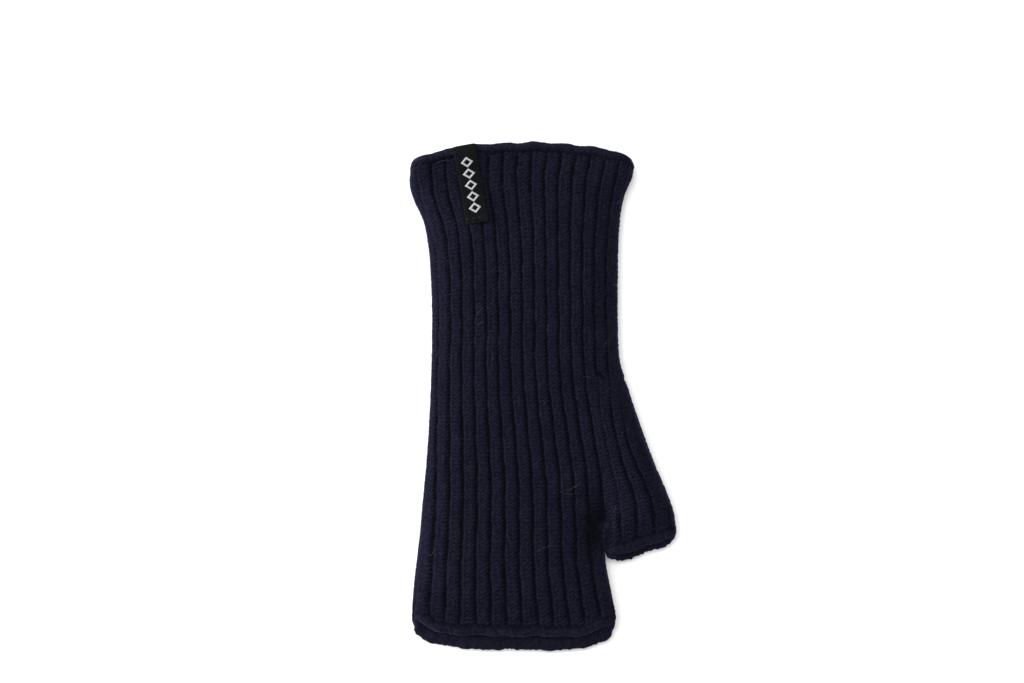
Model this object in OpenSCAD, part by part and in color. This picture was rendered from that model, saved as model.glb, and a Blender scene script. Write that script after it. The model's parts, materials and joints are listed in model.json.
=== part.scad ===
// Fingerless rib-knit mitten for one hand, lying flat with the back of the hand up.
// +Y runs from the finger opening to the wrist opening and +X points to the thumb side.
// The origin lies under the middle of the mitten, on the surface that it rests on.
// Each length of the tube is a back layer and a palm layer of knit, which meet at the side
// folds. Where two lengths fold against each other, their ends lean apart in a V.

/* [Size] */
// Whole length, from the finger lips to the wrist edge
total_len = 233.4; // [215:0.2:250]
// Flat width at the wrist, the narrowest place
wrist_w = 85; // [80:1:92]
// Height of the back layer above the surface, in the middle of the hand
body_h = 13.4; // [13:0.2:14.4]

/* [Knit] */
// Thickness of one layer of rib knit
wall_t = 2.6; // [2.2:0.1:2.8]
// Thickness of the rolled edge at each opening
roll_d = 5.2; // [4.8:0.1:5.4]
// Thickness of a linked seam, on the inside
seam_d = 1.6; // [1.2:0.1:1.8]

/* [Label] */
// Width of the woven label
label_w = 11; // [8:0.5:12]
// Length of the label on each side of the wrist edge
label_len = 33; // [24:1:36]
// Thickness of the woven label
label_t = 0.6; // [0.4:0.1:0.7]
// Lean of the label away from the length of the mitten, in degrees
label_lean = 10; // [0:0.5:12]

/* [Folds] */
// Largest fold of the wrist and of the finger end, each way, in degrees
hand_fold = 60; // [30:1:60]
// Largest fold of the thumb, each way, in degrees
thumb_fold = 50; // [30:1:50]
// Gap between two lengths at the height of their fold
joint_gap = 0.8; // [0.6:0.1:1.2]

/* [Hidden] */

sx = wrist_w / 85;
sy = total_len / 233.4;
roll_r = roll_d / 2;
seam_r = seam_d / 2;
fold_z = 6.2;              // height of the side folds, where the two layers meet
back_rise = body_h - fold_z;
press_flat = 0.4;          // the palm layer is pressed flat by this much where it rests
mouth_gap = 5.4;           // free height between the two lips of an opening
mouth_z = roll_d + mouth_gap / 2;
lip_rise = (mouth_gap + roll_d) / 2;
lip_lift = roll_r - wall_t / 2;     // how far a layer rises to meet the middle of its lip
lens_power = 2.6;          // a higher power gives squarer side folds
columns = 18;              // facets across a layer
touch = 0.05;              // play between pieces that lie against each other

wrist_y = 32 * sy;         // where the cuff folds against the hand
knuckle_y = -86 * sy;      // where the finger end folds against the hand
gusset_y = -8 * sy;        // where the thumb's layers part from the hand's
crotch_y = -59 * sy;       // where the thumb parts from the hand
fold_top = [37.4 * sx, 8 * sy];         // upper end of the thumb's fold line
fold_end = [27.5 * sx, crotch_y];       // its lower end, at the crotch

// Side edges of the mitten as [y, x] pairs, at the nominal size
little_finger_side = [
    [-112, -57], [-100, -60.3], [-60, -56.6], [-20, -53], [25, -51.2], [60, -52],
    [80, -54.8], [91, -59.6], [98, -61.4], [106, -60.6],
];
hand_thumb_side = [
    [-10, 43.4], [8, 37.4], [20, 34.6], [60, 34.2], [80, 35], [92, 37.2], [100, 40.6], [108, 41.8],
];
finger_thumb_side = [[-112, 32.6], [-100, 33.3], [-90, 31.5], [-75, 28.6], [-60, 27.1]];
thumb_outer_side = [[-62, 61.2], [-50, 58.9], [-30, 50.7], [-10, 43.4], [8, 37.4]];

// ---- curves ----------------------------------------------------------------

function mix(a, b, t) = a + (b - a) * t;
function clamp(v, low, high) = min(max(v, low), high);
function span_of(k, tab, i = 0) =
    (i >= len(tab) - 2 || k < tab[i + 1][0]) ? i : span_of(k, tab, i + 1);
function slope(tab, i) =
    let (a = max(i - 1, 0), b = min(i + 1, len(tab) - 1))
    (tab[b][1] - tab[a][1]) / (tab[b][0] - tab[a][0]);
// A smooth curve through [key, value] pairs
function curve(tab, k) =
    let (
        i = span_of(k, tab),
        h = tab[i + 1][0] - tab[i][0],
        t = clamp((k - tab[i][0]) / h, 0, 1),
        a = tab[i][1], b = tab[i + 1][1]
    )
    mix(a, b, t * t * (3 - 2 * t)) + h * t * (1 - t) * ((1 - t) * slope(tab, i) - t * slope(tab, i + 1));
function side(tab, y) = sx * curve(tab, y / sy);
// The thumb's fold line
function fold_x(y) = mix(fold_end[0], fold_top[0], (y - fold_end[1]) / (fold_top[1] - fold_end[1]));

// Share of its full height that a flat tube has at u, from 0 at its left edge to 1 at its right.
// A side that closes at a fold has a cut of 0; along the thumb's fold line the layers stay apart.
function arch(s) = pow(max(1 - pow(s, lens_power), 0), 1 / lens_power);
function crown(u, cut_left, cut_right) =
    let (s = abs(2 * u - 1), cut = u < 0.5 ? cut_left : cut_right)
    cut == 0 ? arch(s) : 1 - (1 - cut) * pow(s, lens_power);
// There the whole flat outline sets their height, less the dip of the crease
crease_dip = 0.15;
function cut_at(y) =
    let (left = side(little_finger_side, y), right = side(thumb_outer_side, y))
    (1 - crease_dip) * arch(abs(2 * (fold_x(y) - left) / (right - left) - 1));

// ---- openings ----------------------------------------------------------------

// Each rim is [left end, right end, bow, lag, fullness]: the middle line of its rolled edge. bow
// carries the middle of both lips along Y, fullness is how far the bow reaches towards the ends,
// and lag is how much further along Y the palm lip stands.
wrist_rim = [[-58.7 * sx, 107 * sy], [39.2 * sx, 108 * sy], 6.5, -5, 2.4];
finger_rim = [[-57.8 * sx, -98.8 * sy], [30.8 * sx, -100.2 * sy], -7.9, -6.8, 4];
thumb_rim = [[32.2 * sx, -64.8 * sy], [58.9 * sx, -57.2 * sy], -2.2, -8, 2.4];

function rim_y(rim, u, k) =
    mix(rim[0][1], rim[1][1], u)
        + rim[2] * (1 - pow(abs(2 * u - 1), rim[4]))
        + rim[3] * (1 - k) / 2;
// Share of the lips' height at u, which is full except in the round ends
function rim_share(rim, u) =
    let (d = min(u, 1 - u) * (rim[1][0] - rim[0][0]) / lip_rise)
    d < 1 ? sqrt(max(1 - pow(1 - d, 2), 0)) : 1;
function rim_point(rim, u, k) = [mix(rim[0][0], rim[1][0], u), rim_y(rim, u, k), mouth_z + lip_rise * k];
// Where a layer ends against its lip; inward is -1 or 1 along Y
function end_y(rim, u, back, inward) =
    rim_y(rim, u, (back ? 1 : -1) * rim_share(rim, u)) + inward * (roll_r + touch);

// ---- layers of knit -------------------------------------------------------------

hand_lean = tan(hand_fold / 2);     // how far a layer's end leans back, per unit of height
thumb_lean = tan(thumb_fold / 2);
function clear(rise, lean) = joint_gap / 2 + lean * rise;

// One row of a layer as [outer, inner] points. y_at(u, rise) gives the row's place along Y
// at u, for a point that lies rise above or below the side folds.
function row(left, right, cut_left, cut_right, back, lift, y_at) =
    let (
        out_h = back ? back_rise + lift : fold_z + press_flat - lift,
        in_h = (back ? back_rise : fold_z) + (back ? lift : -lift) - wall_t,
        way = back ? 1 : -1,
        out_left = left + (cut_left == 0 ? 0 : clear(out_h * cut_left, thumb_lean)),
        out_right = right - (cut_right == 0 ? 0 : clear(out_h * cut_right, thumb_lean)),
        in_left = left + (cut_left == 0 ? wall_t : clear(in_h * cut_left, thumb_lean)),
        in_right = right - (cut_right == 0 ? wall_t : clear(in_h * cut_right, thumb_lean))
    )
    [
        for (j = [0:columns])
            let (
                u = (1 - cos(180 * j / columns)) / 2,
                k = crown(u, cut_left, cut_right),
                outer = min(out_h * k, back ? out_h : fold_z),
                inner = in_h * k
            )
            [
                [mix(out_left, out_right, u), y_at(u, outer), fold_z + way * outer],
                [mix(in_left, in_right, u), y_at(u, inner), fold_z + way * inner],
            ]
    ];

cuff_rows = 13;
finger_rows = 7;
thumb_rows = 12;

function cuff_layer(back) = [
    for (i = [0:cuff_rows])
        let (t = i / cuff_rows, y = mix(wrist_y, end_y(wrist_rim, 0, back, -1), t))
        row(side(little_finger_side, y), side(hand_thumb_side, y), 0, 0, back, lip_lift * pow(t, 5),
            function(u, rise) mix(wrist_y + clear(rise, hand_lean), end_y(wrist_rim, u, back, -1), t))
];

function finger_layer(back) = [
    for (i = [0:finger_rows])
        let (t = i / finger_rows, y = mix(end_y(finger_rim, 0, back, 1), knuckle_y, t))
        row(side(little_finger_side, y), side(finger_thumb_side, y), 0, 0, back, lip_lift * pow(1 - t, 3),
            function(u, rise) mix(end_y(finger_rim, u, back, 1), knuckle_y - clear(rise, hand_lean), t))
];

// Rows of the hand, closed at both folds except along the thumb
finger_side_rows = 4;
thumb_side_rows = 8;
wrist_side_rows = 5;
hand_ys = concat(
    [for (i = [0:finger_side_rows]) mix(knuckle_y, crotch_y - 2, i / finger_side_rows)],
    [for (i = [0:thumb_side_rows]) mix(crotch_y + 0.5, gusset_y - 1, i / thumb_side_rows)],
    [for (i = [0:wrist_side_rows]) mix(gusset_y, wrist_y, i / wrist_side_rows)]
);
function hand_layer(back) = [
    for (y = hand_ys)
        let (
            t = (y - knuckle_y) / (wrist_y - knuckle_y),
            beside_thumb = y > crotch_y && y < gusset_y,
            right = beside_thumb ? fold_x(y) : side(y < crotch_y ? finger_thumb_side : hand_thumb_side, y)
        )
        row(side(little_finger_side, y), right, 0, beside_thumb ? cut_at(y) : 0, back, 0,
            function(u, rise) mix(knuckle_y + clear(rise, hand_lean), wrist_y - clear(rise, hand_lean), t))
];

thumb_top = gusset_y - 3.6;
function thumb_layer(back) = [
    for (i = [0:thumb_rows])
        let (
            t = i / thumb_rows,
            y_in = mix(end_y(thumb_rim, 0, back, 1), thumb_top, t),
            y_out = mix(end_y(thumb_rim, 1, back, 1), thumb_top, t),
            joined = y_in > crotch_y,
            left = joined ? fold_x(y_in) : side(finger_thumb_side, y_in) + 1.5
        )
        row(left, side(thumb_outer_side, y_out), joined ? cut_at(y_in) : 0, 0, back, lip_lift * pow(1 - t, 4),
            function(u, rise) mix(end_y(thumb_rim, u, back, 1), thumb_top, t))
];

// A closed shell through rows of [outer, inner] points
module shell(rows) {
    m = len(rows);
    n = len(rows[0]);
    points = [for (r = rows) for (pair = r) each pair];
    at = function(i, j, k) (i * n + j) * 2 + k;
    quad = function(a, b, c, d) [[a, b, c], [a, c, d]];
    outside = function(i, j) quad(at(i, j, 0), at(i + 1, j, 0), at(i + 1, j + 1, 0), at(i, j + 1, 0));
    inside = function(i, j) quad(at(i, j, 1), at(i, j + 1, 1), at(i + 1, j + 1, 1), at(i + 1, j, 1));
    row_end = function(i, j) quad(at(i, j, 0), at(i, j + 1, 0), at(i, j + 1, 1), at(i, j, 1));
    column_end = function(i, j) quad(at(i, j, 0), at(i, j, 1), at(i + 1, j, 1), at(i + 1, j, 0));
    turned = function(triangles) [for (t = triangles) [t[0], t[2], t[1]]];
    faces = concat(
        [for (i = [0:m - 2]) for (j = [0:n - 2]) each concat(outside(i, j), inside(i, j))],
        [for (j = [0:n - 2]) each concat(row_end(0, j), turned(row_end(m - 1, j)))],
        [for (i = [0:m - 2]) each concat(column_end(i, 0), turned(column_end(i, n - 1)))]
    );
    polyhedron(points = points, faces = faces, convexity = 6);
}

// Rows run along +Y; a palm layer's are turned over, so that its outer face still points out
module layer(rows, back) shell(back ? rows : [for (i = [len(rows) - 1:-1:0]) rows[i]]);

module knit() color([0.10, 0.10, 0.16]) children();

module cuff_back_panel() knit() layer(cuff_layer(true), true);
module cuff_palm_panel() knit() layer(cuff_layer(false), false);
module hand_back_panel() knit() layer(hand_layer(true), true);
module hand_palm_panel() knit() layer(hand_layer(false), false);
module finger_back_panel() knit() layer(finger_layer(true), true);
module finger_palm_panel() knit() layer(finger_layer(false), false);
module thumb_back_panel() knit() layer(thumb_layer(true), true);
module thumb_palm_panel() knit() layer(thumb_layer(false), false);

// ---- rolled edges and seams ------------------------------------------------------

ring_sides = 12;
lip_steps = 14;            // facets along a lip
turn_steps = 8;            // facets round each end

// A round tube along points; a closed one joins its ends
module tube(path, r, closed) {
    n = len(path);
    ahead = function(i)
        let (
            a = path[closed ? (i + n - 1) % n : max(i - 1, 0)],
            b = path[closed ? (i + 1) % n : min(i + 1, n - 1)]
        )
        (b - a) / norm(b - a);
    out = function(i) let (c = cross(ahead(i), closed ? [0, 1, 0] : [0, 0, 1])) c / norm(c);
    points = [
        for (i = [0:n - 1])
            for (k = [0:ring_sides - 1])
                let (w = 360 * k / ring_sides)
                path[i] + r * (cos(w) * out(i) + sin(w) * cross(ahead(i), out(i)))
    ];
    walls = [
        for (i = [0:closed ? n - 1 : n - 2])
            for (k = [0:ring_sides - 1])
                let (
                    k2 = (k + 1) % ring_sides,
                    a = i * ring_sides,
                    b = (i + 1) % n * ring_sides
                )
                each [[a + k, a + k2, b + k2], [a + k, b + k2, b + k]]
    ];
    caps = closed ? [] : [
        [for (k = [ring_sides - 1:-1:0]) k],
        [for (k = [0:ring_sides - 1]) (n - 1) * ring_sides + k],
    ];
    polyhedron(points = points, faces = [for (f = concat(walls, caps)) [for (i = [len(f) - 1:-1:0]) f[i]]],
        convexity = 8);
}

// The middle line of a rim: along its back lip, round the right end, back along its palm lip
// and round the left end
function rim_loop(rim) =
    let (width = rim[1][0] - rim[0][0], turn = lip_rise / width)
    concat(
        [for (i = [0:lip_steps]) rim_point(rim, mix(turn, 1 - turn, i / lip_steps), 1)],
        [for (i = [1:turn_steps - 1])
            let (w = 180 * i / turn_steps) rim_point(rim, 1 - turn * (1 - sin(w)), cos(w))],
        [for (i = [0:lip_steps]) rim_point(rim, mix(1 - turn, turn, i / lip_steps), -1)],
        [for (i = [1:turn_steps - 1])
            let (w = 180 * i / turn_steps) rim_point(rim, turn * (1 - sin(w)), -cos(w))]
    );

module rolled_edge(rim) knit() tube(rim_loop(rim), roll_r, true);
module wrist_rolled_edge() rolled_edge(wrist_rim);
module finger_rolled_edge() rolled_edge(finger_rim);
module thumb_rolled_edge() rolled_edge(thumb_rim);

// A seam lies in the thumb-side fold of a layer's rows, from one row to another. It stops one
// row short of a fold line, so that it doesn't meet the next length's seam when the knit folds.
module side_seam(rows, first, last)
    knit() tube([
        for (i = [first:last])
            let (edge = rows[i][columns])
            edge[1] - (edge[0] - edge[1]) / wall_t * (seam_r + touch)
    ], seam_r, false);
module cuff_side_seam() side_seam(cuff_layer(true), 1, cuff_rows - 1);
module hand_side_seam() {
    side_seam(hand_layer(true), 1, finger_side_rows);
    side_seam(hand_layer(true), len(hand_ys) - wrist_side_rows, len(hand_ys) - 2);
}
module finger_side_seam() side_seam(finger_layer(true), 1, finger_rows - 1);
module thumb_side_seam() side_seam(thumb_layer(true), 1, thumb_rows - 1);

// ---- label ---------------------------------------------------------------------

label_u = 0.235;           // where the label crosses the wrist edge, as a share of its width
label_turn = rim_point(wrist_rim, label_u, 1);
label_way = [sin(label_lean), -cos(label_lean)];
label_across = [cos(label_lean), sin(label_lean)];
label_steps = 10;
stitches = 4;
stitch_from_end = 2.4;
thread_d = 0.5;

// Height of the cuff's back layer at distance d along the label, on its outer or inner face
function cuff_height(d, inside) =
    let (
        x = label_turn[0] + d * label_way[0],
        y = label_turn[1] + d * label_way[1],
        left = side(little_finger_side, y), right = side(hand_thumb_side, y),
        t = clamp((y - wrist_y) / (end_y(wrist_rim, label_u, true, -1) - wrist_y), 0, 1),
        lift = lip_lift * pow(t, 5),
        low = arch(abs(2 * (x - label_w / 2 - left) / (right - left) - 1)),
        high = arch(abs(2 * (x + label_w / 2 - left) / (right - left) - 1))
    )
    fold_z + (back_rise + lift - (inside ? wall_t : 0)) * (inside ? min(low, high) : max(low, high));
function roll_height(d) = sqrt(max(pow(roll_r, 2) - pow(d, 2), 0));
function outer_height(d) =
    max(cuff_height(d, false), label_turn[2] + roll_height(d)) + 3 * touch + label_t / 2;
function inner_height(d) =
    min(cuff_height(d, true), label_turn[2] - roll_height(d)) - 3 * touch - label_t / 2;

// The label's middle line as [distance along it, height], from its outer end to its inner end
turn_r = roll_r + 3 * touch + label_t / 2;
label_line = concat(
    [for (i = [0:label_steps]) let (d = mix(label_len, 0.5, i / label_steps)) [d, outer_height(d)]],
    [for (w = [20:20:160]) [-turn_r * sin(w), label_turn[2] + turn_r * cos(w)]],
    [for (i = [0:label_steps]) let (d = mix(0.5, label_len, i / label_steps)) [d, inner_height(d)]]
);

module label() {
    n = len(label_line);
    place = function(p, w)
        [label_turn[0] + p[0] * label_way[0] + w * label_across[0],
         label_turn[1] + p[0] * label_way[1] + w * label_across[1],
         p[1]];
    out = function(i)
        let (a = label_line[max(i - 1, 0)], b = label_line[min(i + 1, n - 1)], d = (b - a) / norm(b - a))
        [d[1], -d[0]] * label_t / 2;
    color([0.08, 0.09, 0.09])
        shell([
            for (i = [0:n - 1])
                [for (w = [-label_w / 2, label_w / 2])
                    [place(label_line[i] + out(i), w), place(label_line[i] - out(i), w)]]
        ]);
}

// The thread that holds the label's outer end
module label_stitching() {
    d = label_len - stitch_from_end;
    pitch = label_w / stitches;
    color([0.3, 0.32, 0.36])
        for (i = [0:stitches - 1])
            let (w = (i + 0.5) * pitch - label_w / 2)
            translate([
                label_turn[0] + d * label_way[0] + w * label_across[0],
                label_turn[1] + d * label_way[1] + w * label_across[1],
                outer_height(d) + label_t / 2 + thread_d / 2 + touch
            ])
                rotate([0, 90, label_lean])
                    cylinder(h = pitch * 0.7, d = thread_d, center = true, $fn = 16);
}

cuff_back_panel();
cuff_palm_panel();
cuff_side_seam();
wrist_rolled_edge();
label();
label_stitching();
hand_back_panel();
hand_palm_panel();
hand_side_seam();
finger_back_panel();
finger_palm_panel();
finger_side_seam();
finger_rolled_edge();
thumb_back_panel();
thumb_palm_panel();
thumb_side_seam();
thumb_rolled_edge();
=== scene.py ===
"""A fingerless rib-knit mitten, lying flat with the back of the hand up.

Lengths are in millimetres in the row frame: +Y to the wrist, +X to the thumb, +Z up. The knit is
laid out in courses, which are rows of stitches, and wales, which are lines of stitches. A rib is
two wales wide, and rib positions are counted in ribs from the first valley by the little-finger
fold. Each length of knit is a closed shell: a finely modelled outside, and an inside one layer of
knit below it.
"""

import json
import math

import bpy
import numpy as np
from mathutils import Matrix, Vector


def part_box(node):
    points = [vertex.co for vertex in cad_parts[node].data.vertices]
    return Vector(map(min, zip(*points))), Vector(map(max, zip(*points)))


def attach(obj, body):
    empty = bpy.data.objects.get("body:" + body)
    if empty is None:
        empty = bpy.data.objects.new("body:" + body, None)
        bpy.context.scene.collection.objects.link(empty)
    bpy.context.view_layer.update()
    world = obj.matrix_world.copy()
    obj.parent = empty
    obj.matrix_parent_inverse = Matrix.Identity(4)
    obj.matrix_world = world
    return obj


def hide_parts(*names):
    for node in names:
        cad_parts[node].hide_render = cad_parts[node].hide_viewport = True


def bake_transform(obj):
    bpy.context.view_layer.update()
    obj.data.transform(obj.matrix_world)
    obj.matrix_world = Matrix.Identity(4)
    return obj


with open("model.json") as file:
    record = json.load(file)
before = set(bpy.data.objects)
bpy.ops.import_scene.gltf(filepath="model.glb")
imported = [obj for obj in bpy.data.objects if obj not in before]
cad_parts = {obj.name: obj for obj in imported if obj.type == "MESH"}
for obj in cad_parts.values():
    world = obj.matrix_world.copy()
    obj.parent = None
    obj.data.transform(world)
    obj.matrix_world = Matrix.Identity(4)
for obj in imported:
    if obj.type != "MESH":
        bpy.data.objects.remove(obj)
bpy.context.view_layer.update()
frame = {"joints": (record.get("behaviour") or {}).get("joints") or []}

MM = 0.001
JOINTS = {joint["name"]: joint for joint in frame["joints"]}


def joint_mm(name):
    return np.array(JOINTS[name]["pos_m"]) / MM


def box_mm(node):
    low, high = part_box(node)
    return np.array(low) / MM, np.array(high) / MM


# ---- sizes ----------------------------------------------------------------------------

WRIST_Y = joint_mm("wrist_fold")[1]
KNUCKLE_Y = joint_mm("finger_fold")[1]
FOLD_Z = joint_mm("wrist_fold")[2]          # height of the side folds
CROTCH = joint_mm("thumb_fold")
THUMB_AXIS = np.array(JOINTS["thumb_fold"]["axis"])
BODY_TOP = box_mm("hand_back_panel")[1][2]
ROLL_R = 2.6
MOUTH_Z = box_mm("wrist_rolled_edge")[1][2] / 2     # middle between the two lips of an opening
LIP_RISE = MOUTH_Z - ROLL_R                         # from there to the middle of a lip's roll
WALL = 2.4                                  # thickness of the knit
PRESS_FLAT = 0.4                            # the palm layer's middle is pressed flat by this much
LENS_POWER = 2.6                            # roundness of the flat tube's section
WRIST_BEND = 16                             # the cuff bends over this length each side of its fold
KNUCKLE_BEND = 10
THUMB_BEND = 7

GUSSET_Y = 8.0                              # where the thumb begins to widen out of the hand
GUSSET_RUN = 34.0                           # the crease takes this length to form
CREASE_SHARE = 0.9                          # height of the crease between hand and thumb
CREASE_CLOSE = 22.0                         # it falls to nothing over this length to the crotch
WHOLE_RIBS = 12                             # from the first valley to the crease
RIB_DEPTH = 0.7
CUFF_COURSES, HAND_COURSES, FINGER_COURSES, THUMB_COURSES = 58, 38, 24, 5

# Side edges, and the first and last valleys of the hand, as (y, x). THUMB_PITCH is (y, pitch).
LITTLE_SIDE = (
    (-112, -57), (-100, -60.3), (-60, -56.6), (-20, -53), (25, -51.2), (60, -52),
    (80, -54.8), (91, -59.6), (98, -61.4), (106, -60.6),
)
CUFF_THUMB_SIDE = (
    (-10, 43.4), (8, 37.4), (20, 34.6), (60, 34.2), (80, 35), (92, 37.2), (100, 40.6), (108, 41.8),
)
THUMB_OUTER_SIDE = ((-62, 61.2), (-50, 58.9), (-30, 50.7), (-10, 43.4), (8, 37.4))
THUMB_INNER_SIDE = ((-74, 27.6), (-66, 27.4), (-59, 27.5))
FIRST_VALLEY = (
    (-112, -53.5), (-75, -51.3), (-50, -49.8), (13, -48.9), (35, -48.3), (68, -50.1),
    (91, -57), (102, -58.4), (115, -59),
)
CREASE = (
    (-112, 32.6), (-100, 33.3), (-90, 31.5), (-75, 28.6), (-59, 27.5), (-42, 26.6),
    (-31, 25.3), (-9, 21.6), (13, 18.6), (35, 17.9), (68, 17.9), (91, 19.3), (102, 21.2),
    (115, 23),
)
THUMB_PITCH = ((-70, 7.8), (-53, 7.4), (-42, 6.4), (-36, 5.7), (-24, 5.0), (-9, 4.9), (8, 5.4))

# The gusset starts as plain knit. Each of its valleys, by number, begins at a y of its own.
GUSSET_VALLEYS = {13: -50.0, 14: 2.0, 15: -12.0, 16: -46.0}


def curve(table, at):
    """A smooth curve through (key, value) pairs."""
    keys, values = np.array(table, float).T
    last = len(keys) - 1
    before = np.maximum(np.arange(last + 1) - 1, 0)
    after = np.minimum(np.arange(last + 1) + 1, last)
    slopes = (values[after] - values[before]) / (keys[after] - keys[before])
    at = np.asarray(at, float)
    i = np.clip(np.searchsorted(keys, at, side="right") - 1, 0, last - 1)
    span = keys[i + 1] - keys[i]
    t = np.clip((at - keys[i]) / span, 0, 1)
    bend = span * t * (1 - t) * ((1 - t) * slopes[i] - t * slopes[i + 1])
    return values[i] + (values[i + 1] - values[i]) * t * t * (3 - 2 * t) + bend


def mix(a, b, t):
    return a + (b - a) * t


def smooth(t):
    t = np.clip(t, 0, 1)
    return t * t * (3 - 2 * t)


class Rim:
    """The middle line of an opening's rolled edge. bow carries its middle along Y, and fullness is
    how far the bow reaches towards the ends. lag is how much further along Y the palm lip stands.
    reach is the roll's half width along Y and palm_reach is that of its palm lip, closed is how
    much nearer together the lips lie than when they stand open, out is the way that the opening
    faces, and wider carries the left end outwards."""

    def __init__(
        self, node, left_y, right_y, bow, lag, fullness, reach, palm_reach, closed, out, wider=0.0
    ):
        low, high = box_mm(node)
        self.left = low[0] + ROLL_R - wider
        self.width = high[0] - ROLL_R - self.left
        self.left_y, self.right_y = left_y, right_y
        self.bow, self.lag, self.fullness = bow, lag, fullness
        self.reach, self.palm_reach = reach, palm_reach
        self.closed, self.out = closed, out

    def share(self, u):
        """Share of the lips' full height at u, which falls to 0 round each end."""
        near = np.clip(np.minimum(u, 1 - u) * self.width / LIP_RISE, 0, 1)
        return np.sqrt(1 - (1 - near) ** 2)

    def y(self, u, k):
        bow = self.bow * (1 - np.abs(2 * u - 1) ** self.fullness)
        waves = 0.3 * np.sin(0.47 * self.width * u + 1) + 0.2 * np.sin(0.21 * self.width * u + 2.2 * k)
        return mix(self.left_y, self.right_y, u) + bow + waves + self.lag * (1 - k) / 2

    def knit_end(self, u, back):
        """Where a layer of knit ends, just inside its rolled edge."""
        return self.y(u, np.where(back, 1, -1) * self.share(u)) - 0.8 * self.out


WRIST_RIM = Rim(
    "wrist_rolled_edge", left_y=107, right_y=108, bow=6.5, lag=-5, fullness=2.4,
    reach=2.6, palm_reach=2.6, closed=0, out=1,
)
FINGER_RIM = Rim(
    "finger_rolled_edge", left_y=-98.8, right_y=-100.2, bow=-7.9, lag=-6.8, fullness=5.5,
    reach=3.3, palm_reach=6.4, closed=0.5, out=-1,
)
THUMB_RIM = Rim(
    "thumb_rolled_edge", left_y=-70.2, right_y=-61.2, bow=-0.8, lag=-3.6, fullness=3,
    reach=3.3, palm_reach=5.0, closed=0.5, out=-1, wider=0.9,
)


# ---- knit relief ------------------------------------------------------------------------

rng = np.random.default_rng(7)
WAVES = rng.uniform(0, 2 * math.pi, (40, 8))


def per_valley(valley, y, which):
    """A slow wave along each valley, from -1 to 1, different for each one."""
    row = np.clip(valley + 10, 0, len(WAVES) - 1).astype(int)
    slow = np.sin(y * 0.26 + WAVES[row, which])
    quick = np.sin(y * 0.71 + WAVES[row, which + 1])
    return 0.6 * slow + 0.4 * quick


def valley_strength(valley, y, back):
    """Depth of each valley against RIB_DEPTH. They are deeper in the hand than in the cuff, the
    first one dies away in the cuff, and the crease is the deepest."""
    strength = mix(1.08, 0.72, smooth((y + 30) / 60)) + 0.42 * per_valley(valley, y + 40 * back, 0)
    for number, start in GUSSET_VALLEYS.items():
        there = np.maximum(smooth((start - y) / 7), smooth((y - GUSSET_Y - 1) / 5))
        strength = np.where(valley == number, strength * there, strength)
    strength = np.where(valley == 0, strength * mix(1.0, 0.25, smooth((y - 25) / 30)), strength)
    deeper = mix(1.0, 1.4, smooth((-10 - y) / 30))
    return np.where(valley == WHOLE_RIBS, strength * deeper, strength)


def relief(rib, course, x, y, back, ribbed):
    """Depth of the knit's surface below its highest level. ribbed falls to 0 where ribs fade."""
    rib = rib + 0.035 * per_valley(np.round(rib), y + 60 * back, 2) + 0.02 * np.cos(2 * math.pi * course)
    valley = np.round(rib)
    off = np.abs(rib - valley)                      # 0 in a valley, 0.5 in the middle of a rib
    near = 1 - 2 * off
    depth = ribbed * valley_strength(valley, y, back) * (RIB_DEPTH * near**6 + 0.14 * near**2)
    across = np.abs(np.clip((off - 0.1) / 0.4, 0, 1) - 0.5)     # from a wale's middle to its edge
    leg = 1 - ((across - 0.25) / 0.25) ** 2
    yarn = 0.5 + 0.5 * np.cos(2 * math.pi * (course - 1.1 * across))
    depth = depth + 0.35 * (1 - leg) + 0.6 * (1 - yarn)
    purl = 0.5 + 0.5 * np.cos(2 * math.pi * (course + 0.5))
    depth = np.where(off < 0.1, depth + 0.25 * purl, depth)
    # Two hollows in the back: where the gusset starts, and where the knit is drawn in by the crotch
    # The hollows are shaped in the surface, and their depth also darkens the colour there as painted shade.
    kink = np.hypot((x - 26.6) + 0.9 * (y - 10), 0.5 * (y - 10))
    crotch = np.hypot((x - CROTCH[0] + 2) / 5, (y - CROTCH[1] + 2) / 10)
    return depth + np.where(back, 0.9 * np.exp(-(kink**2)) + 1.4 * np.exp(-(crotch**2)), 0)


def lumps(x, y):
    """Slow unevenness of cloth that isn't pressed, from -1 to 1."""
    return (
        np.sin(0.21 * x + 0.05 * y + 0.6) * np.sin(0.13 * y + 0.8)
        + 0.6 * np.sin(0.34 * y - 0.11 * x) * np.sin(0.17 * x + 1.9)
    ) / 1.6


def grain(shape, amount):
    """Fine unevenness of felted wool."""
    field = rng.normal(0, 1, shape)
    for axis in (0, 1):
        field = 0.5 * field + 0.25 * (np.roll(field, 1, axis) + np.roll(field, -1, axis))
    return amount * field / field.std()


# ---- the flat tube ------------------------------------------------------------------------


def lens(x, left, right, cut_left=0.0, cut_right=0.0):
    """Share of its full height that a flat tube has at x. Each side falls to its own cut."""
    u = np.clip((x - left) / (right - left), 0, 1)
    cut = np.where(u < 0.5, cut_left, cut_right) ** LENS_POWER
    return (1 - (1 - cut) * np.abs(2 * u - 1) ** LENS_POWER) ** (1 / LENS_POWER)


def crease_cut(y):
    return CREASE_SHARE * np.sqrt(np.clip((y - CROTCH[1]) / CREASE_CLOSE, 0, 1))


def parted(y):
    """From 0 where hand and thumb are one tube to 1 where the crease parts them."""
    return smooth((GUSSET_Y - y) / GUSSET_RUN)


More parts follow.
